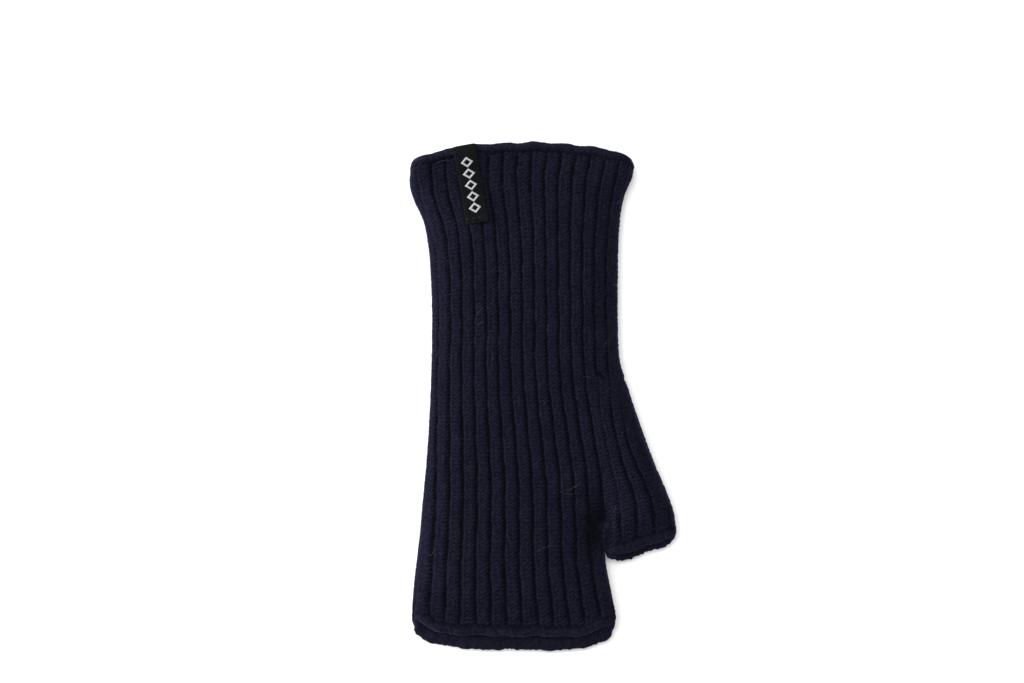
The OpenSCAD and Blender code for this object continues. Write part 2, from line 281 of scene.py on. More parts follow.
def surface(x, y, share, back, flare, closed):
    """Points of a layer's outside. flare goes to 1 at an opening, where the lips stand apart, and
    closed is how much nearer together they lie than that."""
    fold = mix(FOLD_Z, MOUTH_Z, flare)
    top = mix(BODY_TOP, 2 * MOUTH_Z - 0.7, flare) + 0.35 * (1 - flare) * lumps(x, y)
    top = fold + (top - fold) * share
    top = top - closed * flare * np.maximum(top - 2 * ROLL_R, 0)
    bottom = fold - (fold + mix(PRESS_FLAT, -0.8, flare)) * share
    z = np.where(back, top, np.maximum(bottom, 0))
    return np.stack(np.broadcast_arrays(x, y, z), axis=-1)


def crowd(start, edge, steps):
    """Rib positions in each row from start to edge, closer together towards the edge."""
    t = np.linspace(0, 1, steps + 1)
    return start + (np.asarray(edge, float)[:, None] - start) * (1 - (1 - t) ** 1.6)


def hand_ribs(first):
    """Rib positions in each row, from the little-finger fold, at first, to the crease."""
    crease = np.full(len(first), WHOLE_RIBS)
    whole = np.tile(np.linspace(1, WHOLE_RIBS - 1, (WHOLE_RIBS - 2) * 10 + 1), (len(first), 1))
    to_fold = crowd(1, first, 18)[:, :0:-1]
    to_crease = crowd(WHOLE_RIBS - 1, crease, 12)[:, 1:]
    return np.hstack((to_fold, whole, to_crease))


def thumb_ribs(last):
    """Rib positions in each row, from the crease to the thumb-side fold, at last."""
    crease = np.full(len(last), WHOLE_RIBS)
    whole = np.tile(np.linspace(WHOLE_RIBS + 1, WHOLE_RIBS + 2, 11), (len(last), 1))
    to_crease = crowd(WHOLE_RIBS + 1, crease, 12)[:, :0:-1]
    to_fold = crowd(WHOLE_RIBS + 2, last, 30)[:, 1:]
    return np.hstack((to_crease, whole, to_fold))


def rows(courses, start, end, last):
    """Four rows of points to a course, as a column."""
    return np.linspace(start, end, courses * 4 + 1)[: None if last else -1, None]


def hand_lines(y):
    """The little-finger fold, the first valley, the crease and the rib pitch at y."""
    first, crease = curve(FIRST_VALLEY, y), curve(CREASE, y)
    return curve(LITTLE_SIDE, y), first, crease, (crease - first) / WHOLE_RIBS


def crease_fade(rib, amount):
    """amount at the crease, and 1 from half a rib away."""
    return mix(1, amount, smooth(1 - 2 * np.abs(rib - WHOLE_RIBS)))


def fading_ribs(y, end, length):
    """Ribs die away over the last of the knit before a rolled edge."""
    return mix(0.15, 1.0, smooth(np.abs(y - end) / length - 0.35))


def cuff_layout():
    """Rows from the gusset up to the wrist edge. Like the other layouts it gives rib positions,
    courses, points, share of the full height, which are on the back, the column of the thumb-side
    fold and how strongly the knit is ribbed."""
    t = rows(CUFF_COURSES, 0, 1, True)
    y = mix(GUSSET_Y, WRIST_RIM.knit_end(0.0, True), t)
    left, first, crease, pitch = hand_lines(y)
    right = curve(CUFF_THUMB_SIDE, y)
    half = np.hstack((
        hand_ribs(((left - first) / pitch)[:, 0]),
        thumb_ribs((WHOLE_RIBS + (right - crease) / pitch)[:, 0])[:, 1:],
    ))
    rib = np.hstack((half, half[:, -2:0:-1]))
    back = np.arange(rib.shape[1]) < half.shape[1]
    x = first + rib * pitch
    u = np.clip((x - left) / (right - left), 0, 1)
    y = mix(GUSSET_Y, WRIST_RIM.knit_end(u, back), t)
    flare = smooth((t - 0.8) / 0.2)
    share = mix(lens(x, left, right), WRIST_RIM.share(u), flare)
    fold = half.shape[1] - 1
    ribbed = fading_ribs(y, WRIST_RIM.knit_end(u, back), 3.0)
    points = surface(x, y, share, back, flare, WRIST_RIM.closed)
    return rib, t * CUFF_COURSES, points, share, back, fold, ribbed


def hand_layout():
    """Rows from the finger end up. Above the crotch they start and end at the crease."""
    t = rows(FINGER_COURSES, 1, 0, False)
    y_tube = mix(CROTCH[1], FINGER_RIM.knit_end(0.0, True), t)
    y_hand = rows(HAND_COURSES, CROTCH[1], GUSSET_Y, True)
    row_y = np.vstack((y_tube, y_hand))
    t = np.vstack((t, 0 * y_hand))
    left, first, crease, pitch = hand_lines(row_y)
    half = hand_ribs(((left - first) / pitch)[:, 0])
    rib = np.hstack((half[:, ::-1], half[:, 1:]))
    back = np.arange(rib.shape[1]) >= half.shape[1]
    x = first + rib * pitch
    u = np.clip((x - left) / (crease - left), 0, 1)
    y = np.where(t > 0, mix(CROTCH[1], FINGER_RIM.knit_end(u, back), t), row_y)
    flare = smooth((t - 0.6) / 0.4)
    share = lens(x, left, crease, 0, crease_cut(row_y))
    share = mix(lens(x, left, curve(THUMB_OUTER_SIDE, row_y)), share, parted(row_y))
    share = mix(share, FINGER_RIM.share(u), flare)
    hand_course = rows(HAND_COURSES, 0, HAND_COURSES, True)
    course = np.vstack((-t[t > 0][:, None] * FINGER_COURSES, hand_course))
    ribbed = fading_ribs(y, FINGER_RIM.knit_end(u, back), 5.0)
    points = surface(x, y, share, back, flare, FINGER_RIM.closed)
    return rib, course, points, share, back, 0, ribbed


def thumb_layout():
    """Rows from the thumb's opening up, slanting from the crease to the thumb's outer fold."""
    slant = (GUSSET_Y - THUMB_RIM.right_y) / (GUSSET_Y - THUMB_RIM.left_y)
    t = rows(THUMB_COURSES, 1, 0, False)
    inner = np.vstack((
        mix(CROTCH[1], THUMB_RIM.knit_end(0.0, True), t),
        rows(HAND_COURSES, CROTCH[1], GUSSET_Y, True),
    ))
    crotch_out = GUSSET_Y + (CROTCH[1] - GUSSET_Y) * slant
    outer = np.vstack((
        mix(crotch_out, THUMB_RIM.knit_end(1.0, True), t),
        rows(HAND_COURSES, crotch_out, GUSSET_Y, True),
    ))
    t = np.vstack((t, np.zeros((len(inner) - len(t), 1))))
    left = np.where(t > 0, curve(THUMB_INNER_SIDE, inner), curve(CREASE, inner))
    right = curve(THUMB_OUTER_SIDE, outer)
    pitch = mix(hand_lines(inner)[3], curve(THUMB_PITCH, inner), smooth((GUSSET_Y - inner) / 10))
    half = thumb_ribs((WHOLE_RIBS + (right - left) / pitch)[:, 0])
    rib = np.hstack((half, half[:, -2::-1]))
    back = np.arange(rib.shape[1]) < half.shape[1]
    x = left + (rib - WHOLE_RIBS) * pitch
    u = np.clip((x - left) / (right - left), 0, 1)
    row_y = mix(inner, outer, u)
    start = mix(CROTCH[1], crotch_out, u)
    y = np.where(t > 0, mix(start, THUMB_RIM.knit_end(u, back), t), row_y)
    flare = smooth(t)
    whole = lens(x, curve(LITTLE_SIDE, row_y), curve(THUMB_OUTER_SIDE, row_y))
    share = mix(whole, lens(x, left, right, crease_cut(inner), 0), parted(inner))
    share = mix(share, THUMB_RIM.share(u), flare)
    hand_course = rows(HAND_COURSES, 0, HAND_COURSES, True)
    course = np.vstack((-t[t > 0][:, None] * THUMB_COURSES, hand_course))
    ribbed = fading_ribs(y, THUMB_RIM.knit_end(u, back), 8.0)
    points = surface(x, y, share, back, flare, THUMB_RIM.closed)
    return rib, course, points, share, back, half.shape[1] - 1, ribbed


# ---- meshes -------------------------------------------------------------------------------

INNER_ROWS, INNER_COLUMNS = 4, 2            # the inside has one point for so many of the outside's


def new_object(name, points, faces, material, flat_from=None):
    """A mesh with smooth shading, and flat faces from number flat_from on."""
    mesh = bpy.data.meshes.new(name)
    mesh.from_pydata((np.asarray(points) * MM).tolist(), [], faces)
    shading = np.ones(len(mesh.polygons), bool)
    if flat_from is not None:
        shading[flat_from:] = False
    mesh.polygons.foreach_set("use_smooth", shading)
    mesh.materials.append(material)
    mesh.update()
    obj = bpy.data.objects.new(name, mesh)
    bpy.context.scene.collection.objects.link(obj)
    return obj


def add_values(obj, name, values):
    layer = obj.data.attributes.new(name, "FLOAT", "POINT")
    layer.data.foreach_set("value", np.asarray(values, np.float32).ravel())


def quads(a, b, c, d):
    return np.stack((a, b, c, d), axis=-1).reshape(-1, 4).tolist()


def unit(vectors):
    return vectors / np.maximum(np.linalg.norm(vectors, axis=-1, keepdims=True), 1e-9)


def grid_normals(points, wrapped):
    """Outward normals of a grid. wrapped says which rows are closed tubes."""
    across = np.gradient(points, axis=1)
    if wrapped is True:
        across = np.roll(points, -1, 1) - np.roll(points, 1, 1)
    else:
        ends = points[wrapped, 1] - points[wrapped, -2]
        across[wrapped, 0] = across[wrapped, -1] = ends
    return unit(np.cross(across, np.gradient(points, axis=0)))


def shell(name, layout, material, closed):
    """A closed shell of knit. Returns it with the grid of its outside and that grid's normals."""
    rib, course, base, share, back, fold, ribbed = layout
    x, y = base[..., 0], base[..., 1]
    depth = relief(rib, course, x, y, back, ribbed) * mix(0.1, 1.0, smooth(share / 0.8))
    if closed:
        normal = grid_normals(base, True)
    else:
        tube = course[:, 0] < 0
        normal = grid_normals(base, tube)
        ends = (0, -1)
        for end in ends:
            normal[~tube, end] = (0, 0, 1 if back[end] else -1)
        gap = np.abs(base[:, 0, 2] - base[:, -1, 2])[:, None]
        run = (CROTCH[1] - y[:, :1]) / 3
        amount = np.where(tube[:, None], np.clip(run, 0, 1), np.clip(gap / 5, 0, 1))
        depth = depth * crease_fade(rib, amount)
    fine = grain(depth.shape, 0.05)
    fine[[0, -1]] = 0                   # neighbouring lengths of knit meet exactly
    if not closed:
        fine[:, [0, -1]] = 0
    depth = depth + fine
    outer = base - normal * depth[..., None]
    outer[..., 2] = np.maximum(outer[..., 2], 0)
    inner = (base - normal * (WALL + 0.2 * depth[..., None]))[::INNER_ROWS, ::INNER_COLUMNS]
    o = np.arange(depth.size).reshape(depth.shape)
    i = depth.size + np.arange(inner.shape[0] * inner.shape[1]).reshape(inner.shape[:2])
    if closed:
        o, i = (np.hstack((k, k[:, :1])) for k in (o, i))
    faces = quads(o[:-1, :-1], o[:-1, 1:], o[1:, 1:], o[1:, :-1])
    faces += quads(i[:-1, :-1], i[1:, :-1], i[1:, 1:], i[:-1, 1:])
    edges_from = len(faces)
    for row, step in ((0, 1), (-1, -1)):
        for k in range(i.shape[1] - 1):
            edge = o[row, k * INNER_COLUMNS : (k + 1) * INNER_COLUMNS + 1].tolist()
            faces.append(([int(i[row, k]), int(i[row, k + 1])] + edge[::-1])[::step])
    for column, step in () if closed else ((0, 1), (-1, -1)):
        for k in range(i.shape[0] - 1):
            edge = o[k * INNER_ROWS : (k + 1) * INNER_ROWS + 1, column].tolist()
            faces.append((edge + [int(i[k + 1, column]), int(i[k, column])])[::step])
    points = np.vstack((outer.reshape(-1, 3), inner.reshape(-1, 3)))
    obj = new_object(name, points, faces, material, edges_from)
    # The depth values also darken the wool's colour: painted shade in the valleys and hollows.
    inner_depth = np.full(inner.size // 3, RIB_DEPTH / 2)
    add_values(obj, "depth", np.concatenate((depth.ravel(), inner_depth)))
    return obj, outer, normal, fold


def tube(name, path, radius, material, closed, stretch=1.0):
    """A tube along path. radius is one row of values for each point of the path, and stretch
    widens the tube's section sideways, by one number or by one for each point."""
    ahead = np.roll(path, -1, 0) - np.roll(path, 1, 0) if closed else np.gradient(path, axis=0)
    ahead = unit(ahead)
    out = unit(np.cross(ahead, (0.0, 1.0, 0.0) if closed else (0.0, 0.0, 1.0)))
    side = np.cross(ahead, out)
    turn = np.linspace(0, 2 * math.pi, radius.shape[1], endpoint=False)[None, :, None]
    normal = np.cos(turn) * out[:, None] + stretch * np.sin(turn) * side[:, None]
    points = path[:, None] + radius[..., None] * normal
    points[..., 2] = np.maximum(points[..., 2], 0)
    k = np.arange(radius.size).reshape(radius.shape)
    ends = [] if closed else [k[0].tolist(), k[-1, ::-1].tolist()]
    if closed:
        k = np.vstack((k, k[:1]))
    k = np.hstack((k, k[:, :1]))
    faces = quads(k[:-1, :-1], k[:-1, 1:], k[1:, 1:], k[1:, :-1]) + ends
    return new_object(name, points.reshape(-1, 3), faces, material), points, normal


# ---- rolled edges and seams ---------------------------------------------------------------


def rim_path(rim, step):
    """Points on a rim's middle line: back lip, right end, palm lip and left end."""
    turn = LIP_RISE / rim.width
    lip = np.linspace(turn, 1 - turn, int(rim.width * (1 - 2 * turn) / step), endpoint=False)
    angle = np.linspace(0, math.pi, int(math.pi * LIP_RISE / step), endpoint=False)
    reach = turn * (1 - np.sin(angle))
    u = np.concatenate((lip, 1 - reach, 1 - lip, reach))
    k = np.concatenate((lip * 0 + 1, np.cos(angle), lip * 0 - 1, -np.cos(angle)))
    return np.stack((rim.left + u * rim.width, rim.y(u, k), MOUTH_Z + LIP_RISE * k), axis=1)


def rolled_edge(name, rim, material):
    """The edge of the knit, curled round into a roll with its purl side out."""
    path = rim_path(rim, 0.5)
    palm = smooth((MOUTH_Z - path[:, 2]) / LIP_RISE)
    reach = mix(rim.reach, rim.palm_reach, palm)
    path[:, 1] -= rim.out * (reach - ROLL_R)
    path[:, 2] -= rim.closed * (path[:, 2] - ROLL_R)
    sides = 32
    turn = np.linspace(0, 2 * math.pi, sides, endpoint=False)
    along = np.cumsum(np.linalg.norm(path - np.roll(path, 1, 0), axis=1))[:, None]
    share = 2 * math.pi * along / along[-1]
    bumps = 0.5 * np.cos(8 * turn) * np.cos(round(along[-1, 0] / 2.6) * share + 4 * turn)
    slow = sum(np.sin(n * share + p) for n, p in zip((7, 13, 24, 39), rng.uniform(0, 6.3, 4)))
    radius = ROLL_R - 0.05 + 0.12 * bumps + 0.05 * slow + grain((len(path), sides), 0.04)
    obj, points, normal = tube(name, path, radius, material, True, (reach / ROLL_R)[:, None, None])
    outwards = rim.out * normal[..., 1]
    shade = mix(0.9, 0.2, smooth(0.5 + outwards / 2))       # painted shadow, darker towards the knit
    # As depth values these darken the colour: painted shade between the purl bumps, and painted shadow on
    # the side towards the knit.
    add_values(obj, "depth", shade - 0.4 * bumps + 0.6 * np.clip(-outwards, 0, 1))
    return obj, points, normal


def side_seam(name, knit, material):
    """The chain of stitches that closes the thumb-side fold of a length of knit."""
    obj, outer, normal, fold = knit
    path = outer[2:-2, fold] - 0.2 * normal[2:-2, fold]
    if name == "finger_seam":
        below = path[:, 1] < CROTCH[1] - 1.5
        path = path[below]
    along = np.cumsum(np.linalg.norm(np.diff(path, axis=0, prepend=path[:1]), axis=1))
    sides = 8
    link = np.abs(np.sin(math.pi * along / 2.4))[:, None]
    radius = np.broadcast_to(0.5 + 0.12 * link, (len(path), sides)) + grain((len(path), sides), 0.03)
    seam, _, _ = tube(name, path, radius, material, False)
    # Painted shade: the depth values darken the gaps between the links.
    add_values(seam, "depth", 0.6 - 0.3 * np.broadcast_to(link, (len(path), sides)))
    return seam


# ---- loose fibres ---------------------------------------------------------------------------


def fibres(name, points, normals, count, length, radius, material):
    """Loose fibres of wool, each a thin curved spike that stands out of the knit."""
    pick = rng.integers(0, len(points), count)
    start, out = points[pick], normals[pick]
    lie = unit(np.cross(out, rng.normal(0, 1, (count, 3))))
    size = (length * rng.uniform(0.4, 1.0, (count, 1)))[:, None]
    s = np.linspace(0, 1, 4)[None, :, None]
    lift = rng.uniform(0.25, 0.9, (count, 1, 1))
    curl = rng.normal(0, 0.35, (count, 1, 3))
    line = start[:, None] - 0.3 * out[:, None]
    straight = lie[:, None] + lift * out[:, None]
    bent = curl - 0.6 * lift * out[:, None]
    line = line + size * s * straight + size * s**2 * bent
    ahead = unit(lie + 0.5 * out)
    a = unit(np.cross(ahead, out))
    b = np.cross(ahead, a)
    turn = np.linspace(0, 2 * math.pi, 3, endpoint=False)[None, None, :, None]
    ring = np.cos(turn) * a[:, None, None] + np.sin(turn) * b[:, None, None]
    thin = radius * np.array((1.0, 0.85, 0.6))[None, :, None, None]
    rings = line[:, :3, None] + thin * ring
    verts = np.concatenate((rings.reshape(count, 9, 3), line[:, 3:]), axis=1)
    verts[..., 2] = np.maximum(verts[..., 2], 0.02)
    pattern = [(2, 1, 0)]
    pattern += [(r + k, r + (k + 1) % 3, r + 3 + (k + 1) % 3, r + 3 + k) for r in (0, 3) for k in range(3)]
    pattern += [(6 + k, 6 + (k + 1) % 3, 9) for k in range(3)]
    faces = [tuple(v + 10 * n for v in face) for n in range(count) for face in pattern]
    return new_object(name, verts.reshape(-1, 3), faces, material)


# ---- label ----------------------------------------------------------------------------------

LABEL_W = 11.0
LABEL_LEN = 33.0
LABEL_T = 0.5
LABEL_LEAN = math.radians(10)
LABEL_U = 0.235                             # its place along the wrist edge, as a share
LABEL_WAY = np.array((math.sin(LABEL_LEAN), -math.cos(LABEL_LEAN)))
LABEL_ACROSS = np.array((math.cos(LABEL_LEAN), math.sin(LABEL_LEAN)))
LABEL_TURN = np.array((WRIST_RIM.left + LABEL_U * WRIST_RIM.width, WRIST_RIM.y(LABEL_U, 1)))
LABEL_HEM = 3.0                             # length of the turned hem
LABEL_STEPS = 66                            # points along its outer half


def cuff_height(x, y):
    """Height of the cuff's back under the label."""
    left, right = curve(LITTLE_SIDE, y), curve(CUFF_THUMB_SIDE, y)
    u = (x - left) / (right - left)
    t = (y - GUSSET_Y) / (WRIST_RIM.knit_end(u, True) - GUSSET_Y)
    flare = smooth((t - 0.8) / 0.2)
    share = mix(lens(x, left, right), WRIST_RIM.share(u), flare)
    return surface(x, y, share, True, flare, WRIST_RIM.closed)[..., 2]


def label_line():
    """The label's middle line as (distance from the wrist edge, height), from its outer end."""
    clear = 0.15 + LABEL_T / 2
    turn_r = ROLL_R + clear
    lip = MOUTH_Z + LIP_RISE
    d = np.linspace(LABEL_LEN, 0.4, LABEL_STEPS)
    across = np.array((-0.5, 0, 0.5))[:, None, None] * LABEL_W * LABEL_ACROSS
    x, y = np.moveaxis(LABEL_TURN + d[:, None] * LABEL_WAY + across, -1, 0)
    cuff = cuff_height(x, y).max(axis=0) + clear
    outer = mix(lip + turn_r, cuff + 0.12 + 0.12 * np.sin(d * 0.55), smooth(d / 9))
    outer = np.maximum(outer, cuff)
    angle = np.radians(np.arange(8, 180, 8))
    inner_d = np.linspace(0.4, LABEL_LEN, 34)
    inner = mix(lip - turn_r, BODY_TOP - WALL - 1.1, smooth(inner_d / 12))
    return np.concatenate((
        np.stack((d, outer), axis=1),
        np.stack((-turn_r * np.sin(angle), lip + turn_r * np.cos(angle)), axis=1),
        np.stack((inner_d, inner), axis=1),
    ))


def on_label(line, w, out):
    """Points at distance w across the label and out above its middle line."""
    step = unit(np.gradient(line, axis=0))
    up = np.stack((step[:, 1], -step[:, 0]), axis=1)
    spot = line + up * np.broadcast_to(out, len(line))[:, None]
    flat = LABEL_TURN + spot[:, :1] * LABEL_WAY + np.broadcast_to(w, len(line))[:, None] * LABEL_ACROSS
    return np.hstack((flat, spot[:, 1:]))


def label(material):
    """A woven strip, folded over the wrist edge, with a turned hem at its outer end."""
    line = label_line()
    travelled = np.cumsum(np.linalg.norm(np.diff(line, axis=0, prepend=line[:1]), axis=1))
    hem = 0.16 * smooth((LABEL_HEM - travelled) / 0.5)
    flare = 0.6 * smooth(1 - travelled / 7)                  # the free corner stands up a little
    columns = 24
    rings = []
    for k in range(2 * columns):
        top = k < columns
        share = (k + 0.5) / columns if top else (2 * columns - k - 0.5) / columns
        w = (share - 0.5) * LABEL_W + 0.45 * flare * (share > 0.5)
        edge = 1 - np.abs(2 * share - 1) ** 14 * 0.8
        cup = 0.14 * (2 * share - 1) ** 2 * smooth(travelled / 6)
        out = (LABEL_T / 2 + hem) * edge * (1 if top else -1) - cup + flare * smooth(2 * share - 1) * 0.9
        rings.append(on_label(line, w, out))
    points = np.stack(rings, axis=1)
    k = np.arange(points.shape[0] * points.shape[1]).reshape(points.shape[:2])
    ends = [k[0, ::-1].tolist(), k[-1].tolist()]
    k = np.hstack((k, k[:, :1]))
    faces = quads(k[:-1, :-1], k[1:, :-1], k[1:, 1:], k[:-1, 1:]) + ends
    return new_object("woven_label", points.reshape(-1, 3), faces, material), travelled[-1]


def outer_height(line, away):
    """Height of the label's line, on its outer half, at a distance from the wrist edge."""
    outer = line[LABEL_STEPS - 1 :: -1]
    return np.interp(away, outer[:, 0], outer[:, 1])


def label_motif(material):
    """A row of plain woven lozenges down the middle of the label's outer face."""
    line = label_line()
    lozenges, reach = 5, (2.4, 28.6)
    pitch = (reach[1] - reach[0]) / lozenges
    points, faces = [], []
    corners = np.array(((0, 1), (1, 0), (0, -1), (-1, 0)), float)
    for n in range(lozenges):
        middle = reach[0] + (n + 0.5) * pitch
        for side in range(4):
            a, b = corners[side], corners[(side + 1) % 4]
            steps = np.linspace(0, 1, 9)[:, None]
            first = len(points)
            for spot in mix(a, b, steps):
                for scale, rise in ((1.0, 0), (0.93, 0.11), (0.61, 0.11), (0.54, 0)):
                    w, d = spot * scale * (2.9, pitch * 0.47)
                    height = outer_height(line, middle + d) + LABEL_T / 2 + rise
                    flat = LABEL_TURN + (middle + d) * LABEL_WAY + w * LABEL_ACROSS
                    points.append((*flat, height - 0.14 * (2 * w / LABEL_W) ** 2))
            for k in range(8):
                s = first + 4 * k
                faces += [(s + j, s + 4 + j, s + 4 + (j + 1) % 4, s + (j + 1) % 4) for j in range(4)]
            faces += [(first, first + 1, first + 2, first + 3), tuple(first + 32 + j for j in (3, 2, 1, 0))]
    return new_object("label_motif", points, faces, material)


def label_stitches(material):
    """Four short stitches that hold down the label's outer end."""
    line = label_line()
    away = LABEL_LEN - 2.4
    top = outer_height(line, away) + LABEL_T / 2 + 0.22
    pitch = LABEL_W / 4
    points, faces = [], []
    for n in range(4):
        s = np.linspace(-1, 1, 13)
        w = (n - 1.5) * pitch + s * pitch * 0.34
        flat = LABEL_TURN + away * LABEL_WAY + w[:, None] * LABEL_ACROSS
        height = top + 0.1 - 0.45 * s**4 - 0.14 * (2 * w / LABEL_W) ** 2
        path = np.hstack((flat, height[:, None]))
        first = len(points)
        for k, spot in enumerate(path):
            for side in range(8):
                turn = 2 * math.pi * side / 8
                r = 0.2 * (1 + 0.18 * math.cos(3 * turn + 1.6 * k)) * math.sqrt(1.02 - s[k] ** 8)
                points.append((
                    spot[0] - r * math.cos(turn) * LABEL_ACROSS[1],
                    spot[1] + r * math.cos(turn) * LABEL_ACROSS[0],
                    spot[2] + r * math.sin(turn),
                ))
        for k in range(12):
            for side in range(8):
                a, b = first + 8 * k + side, first + 8 * k + (side + 1) % 8
                faces.append((a, b, b + 8, a + 8))
        faces += [tuple(first + j for j in range(7, -1, -1)), tuple(first + 96 + j for j in range(8))]
    return new_object("label_stitches", points, faces, material)


# ---- materials --------------------------------------------------------------------------------


def new_material(name):
    material = bpy.data.materials.new(name)
    material.use_nodes = True
    return material, material.node_tree, material.node_tree.nodes["Principled BSDF"]


def noise(tree, size_mm, detail, stretch=(1, 1, 1)):
    """A noise value, with features of about size_mm. stretch scales it along each axis."""
    coords = tree.nodes.new("ShaderNodeTexCoord")
    mapping = tree.nodes.new("ShaderNodeMapping")
    mapping.inputs["Scale"].default_value = stretch
    node = tree.nodes.new("ShaderNodeTexNoise")
    node.inputs["Scale"].default_value = 1 / (size_mm * MM)
    node.inputs["Detail"].default_value = detail
    tree.links.new(coords.outputs["Object"], mapping.inputs["Vector"])
    tree.links.new(mapping.outputs["Vector"], node.inputs["Vector"])
    return node.outputs["Fac"]


def ramp(tree, value, low, high, dark, light):
    """A colour that goes from dark, where value is low, to light, where it is high."""
    node = tree.nodes.new("ShaderNodeValToRGB")
    ends = node.color_ramp.elements
    ends[0].position, ends[1].position = low, high
    ends[0].color, ends[1].color = (*dark, 1), (*light, 1)
    tree.links.new(value, node.inputs["Fac"])
    return node.outputs["Color"]


def multiply(tree, a, b):
    """The product of two colours."""
    node = tree.nodes.new("ShaderNodeMix")
    node.data_type, node.blend_type = "RGBA", "MULTIPLY"
    node.inputs[0].default_value = 1
    tree.links.new(a, node.inputs[6])
    tree.links.new(b, node.inputs[7])
    return node.outputs[2]


def bump(tree, height, strength, distance_mm, under=None):
    node = tree.nodes.new("ShaderNodeBump")
    node.inputs["Strength"].default_value = strength
    node.inputs["Distance"].default_value = distance_mm * MM
    tree.links.new(height, node.inputs["Height"])
    if under is not None:
        tree.links.new(under, node.inputs["Normal"])
    return node.outputs["Normal"]


def attribute(tree, name):
    node = tree.nodes.new("ShaderNodeAttribute")
    node.attribute_name = name
    return node.outputs["Fac"]


def wool():
    """Navy wool, felted a little: darker in the valleys by painted shade, mottled, with a soft halo of
    fibres.
    """
    material, tree, shader = new_material("navy_wool_knit")
    # Painted shade: the depth values darken the colour in the knit's valleys and hollows, in the seams'
    # gaps, between the rolls' bumps and on the rolls' sides towards the knit.
    painted_valley_shade = ramp(tree, attribute(tree, "depth"), 0.4, 1.5, (1, 1, 1), (0.46, 0.45, 0.43))
    heather = ramp(tree, noise(tree, 7, 3), 0.3, 0.7, (0.84, 0.84, 0.86), (1.0, 1.0, 1.0))
    stitches = ramp(tree, noise(tree, 1.3, 3), 0.36, 0.64, (0.6, 0.6, 0.62), (1.0, 1.0, 1.0))
    base = ramp(tree, noise(tree, 0.9, 4), 0.36, 0.64, (0.0056, 0.0067, 0.0144), (0.0106, 0.0096, 0.0188))
    colour = multiply(tree, multiply(tree, multiply(tree, base, painted_valley_shade), heather), stitches)
    tree.links.new(colour, shader.inputs["Base Color"])
    under = bump(tree, noise(tree, 1.6, 3), 0.8, 0.5)
    tree.links.new(bump(tree, noise(tree, 0.4, 4), 0.5, 0.15, under), shader.inputs["Normal"])
    shader.inputs["Roughness"].default_value = 0.92
    shader.inputs["Specular IOR Level"].default_value = 0.02
    shader.inputs["Sheen Weight"].default_value = 0.17
    shader.inputs["Sheen Roughness"].default_value = 0.35
    shader.inputs["Sheen Tint"].default_value = (0.28, 0.31, 0.62, 1)
    return material


def fibre(name, dark, light):
    """Loose fibres, each a little lighter or darker than the next."""
    material, tree, shader = new_material(name)
    tree.links.new(ramp(tree, noise(tree, 4, 2), 0.3, 0.7, dark, light), shader.inputs["Base Color"])
    shader.inputs["Roughness"].default_value = 0.8
    shader.inputs["Specular IOR Level"].default_value = 0.05
    return material


def woven(name, dark, light, roughness, thread_mm):
    """Satin weave: fine threads across the strip, with a thin shine."""
    material, tree, shader = new_material(name)
    threads = noise(tree, thread_mm, 2, (0.25, 2.2, 1))
    tree.links.new(ramp(tree, threads, 0.35, 0.65, dark, light), shader.inputs["Base Color"])
    cross = bump(tree, noise(tree, thread_mm, 2, (2.2, 0.3, 1)), 0.35, 0.08)
    tree.links.new(bump(tree, threads, 0.5, 0.08, cross), shader.inputs["Normal"])
    shader.inputs["Roughness"].default_value = roughness
    shader.inputs["Specular IOR Level"].default_value = 0.02
    return material


def floor_paper():
    material, tree, shader = new_material("pale_floor")
    tone = ramp(tree, noise(tree, 60, 2), 0.3, 0.7, (0.86, 0.86, 0.86), (0.88, 0.88, 0.88))
    tree.links.new(tone, shader.inputs["Base Color"])
    shader.inputs["Roughness"].default_value = 0.9
    return material


# ---- stage, lights and camera ---------------------------------------------------------------


def add_floor():
    half = 4000.0
    corners = [(-half, -half, -0.1), (half, -half, -0.1), (half, half, -0.1), (-half, half, -0.1)]
    new_object("floor", corners, [(0, 1, 2, 3)], floor_paper())


def add_area(name, place, size, power):
    """A square soft light, aimed at the mitten's middle."""
    light = bpy.data.lights.new(name, "AREA")
    light.size, light.energy = size, power
    obj = bpy.data.objects.new(name, light)
    place = np.array(place, float)
    obj.location = place
    back = unit(place)
    side = unit(np.cross((0.0, 1.0, 0.001), back))
    up = np.cross(back, side)
    obj.rotation_euler = matrix_of(side, up, back).to_euler()
    bpy.context.scene.collection.objects.link(obj)


def matrix_of(side, up, back):
    return Matrix((side, up, back)).transposed()


def add_lights():
    world = bpy.data.worlds.new("studio")
    world.use_nodes = True
    world.node_tree.nodes["Background"].inputs["Color"].default_value = (1, 1, 1, 1)
    world.node_tree.nodes["Background"].inputs["Strength"].default_value = 0.85
    bpy.context.scene.world = world
    add_area("overhead", (-0.15, 0.45, 1.4), 0.9, 15)
    add_area("left_low", (-1.3, 0.2, 0.3), 0.5, 38)
    bpy.context.scene.view_settings.view_transform = "Standard"


def add_camera():
    """A camera straight above, far enough away that the mitten is seen almost without perspective."""
    camera = bpy.data.cameras.new("camera")
    camera.sensor_width = 36
    view_width, distance = 471.0, 1200.0
    camera.lens = camera.sensor_width * distance / view_width
    obj = bpy.data.objects.new("camera", camera)
    obj.location = np.array((-14.3, 25.5, distance + FOLD_Z)) * MM
    bpy.context.scene.collection.objects.link(obj)
    bpy.context.scene.camera = obj


# ---- assembly ---------------------------------------------------------------------------------

